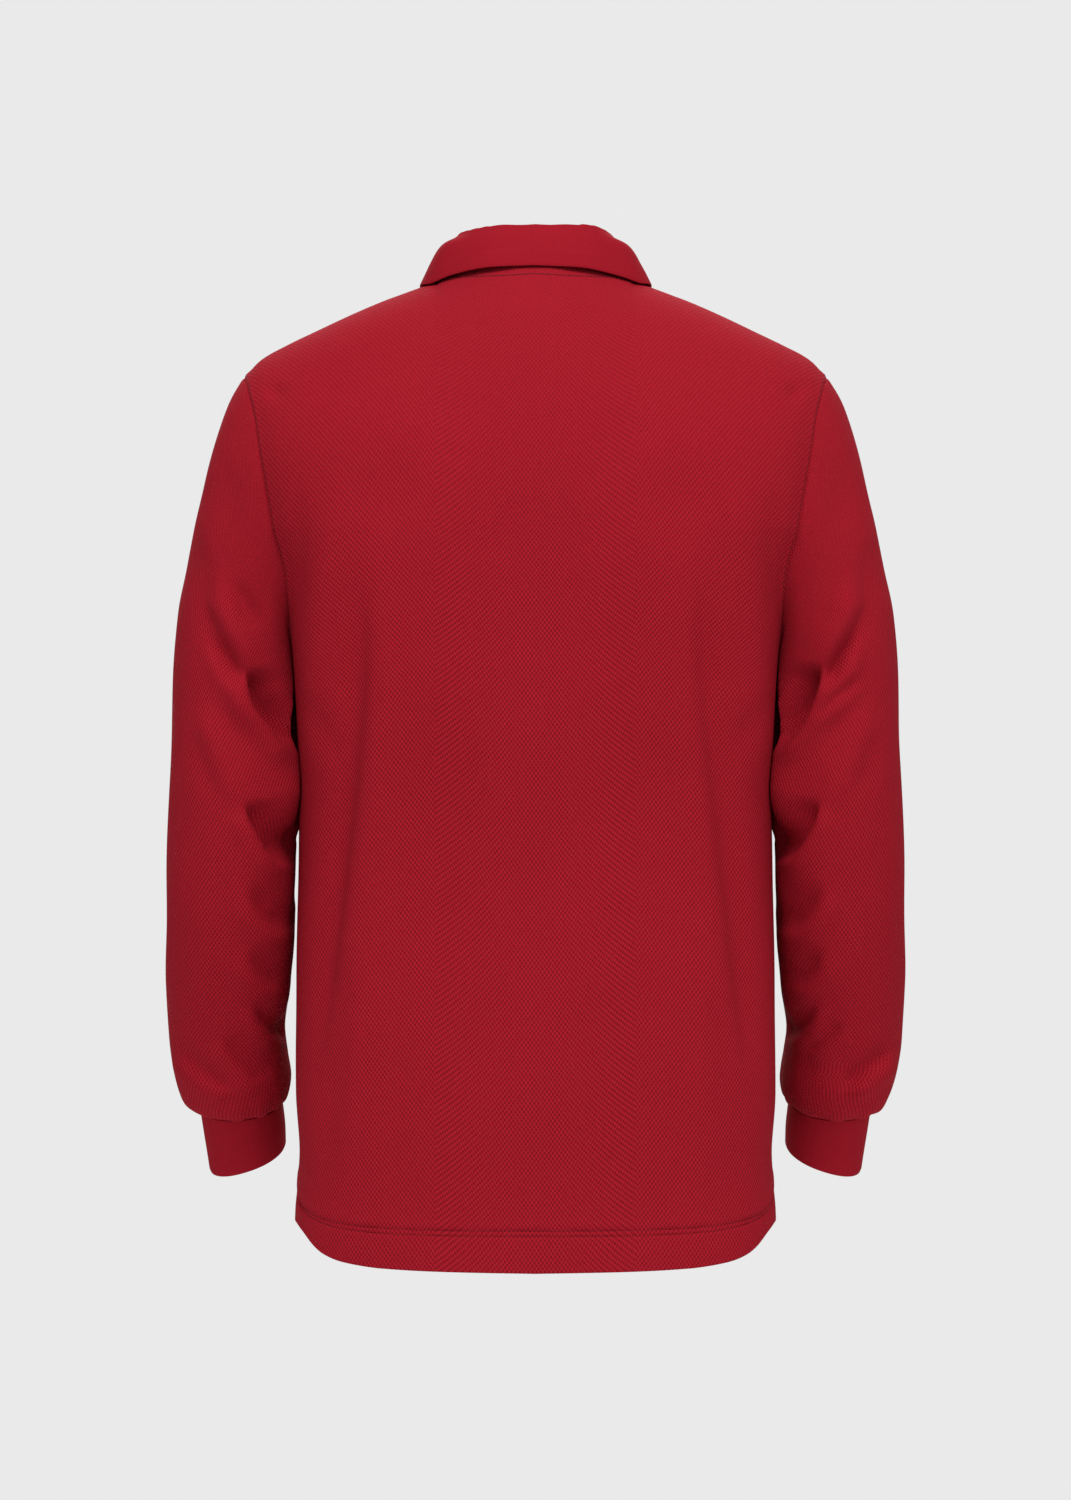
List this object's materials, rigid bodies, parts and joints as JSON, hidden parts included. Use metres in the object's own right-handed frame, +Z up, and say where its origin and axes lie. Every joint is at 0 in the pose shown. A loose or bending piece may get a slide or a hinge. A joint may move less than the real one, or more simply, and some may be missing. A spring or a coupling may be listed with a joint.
{
  "type": "long-sleeve polo shirt",
  "caption": "Long-sleeve knitted polo shirt with a fold-over collar, buttoned placket and fitted cuffs, filled out as if worn with nobody in it.",
  "frame": {"origin": "between the two neck points, at the height of the high points of the shoulders, where the wearer's neck and shoulders hold the shirt", "axes": "+Z up; the front faces -Y and the back +Y; the wearer's left sleeve is at +X"},
  "size_m": [0.5646, 0.2736, 0.7756],
  "materials": {
    "pique_red": "matt cotton pique knit, deep red, with a fine staggered diamond texture",
    "rib_red": "matt flat-knitted collar and cuffs, the same red, very fine rib",
    "button_red": "semi-gloss plastic dyed to match the cloth"
  },
  "bodies": {
    "root": {"back": "pique_red", "front": "pique_red", "sleeve_left": "pique_red", "sleeve_right": "pique_red", "cuff_left": "rib_red", "cuff_right": "rib_red", "collar": "rib_red", "placket_upper": "pique_red", "placket_under": "pique_red", "button_1": "button_red", "button_2": "button_red", "button_3": "button_red"}
  },
  "joints": []
}
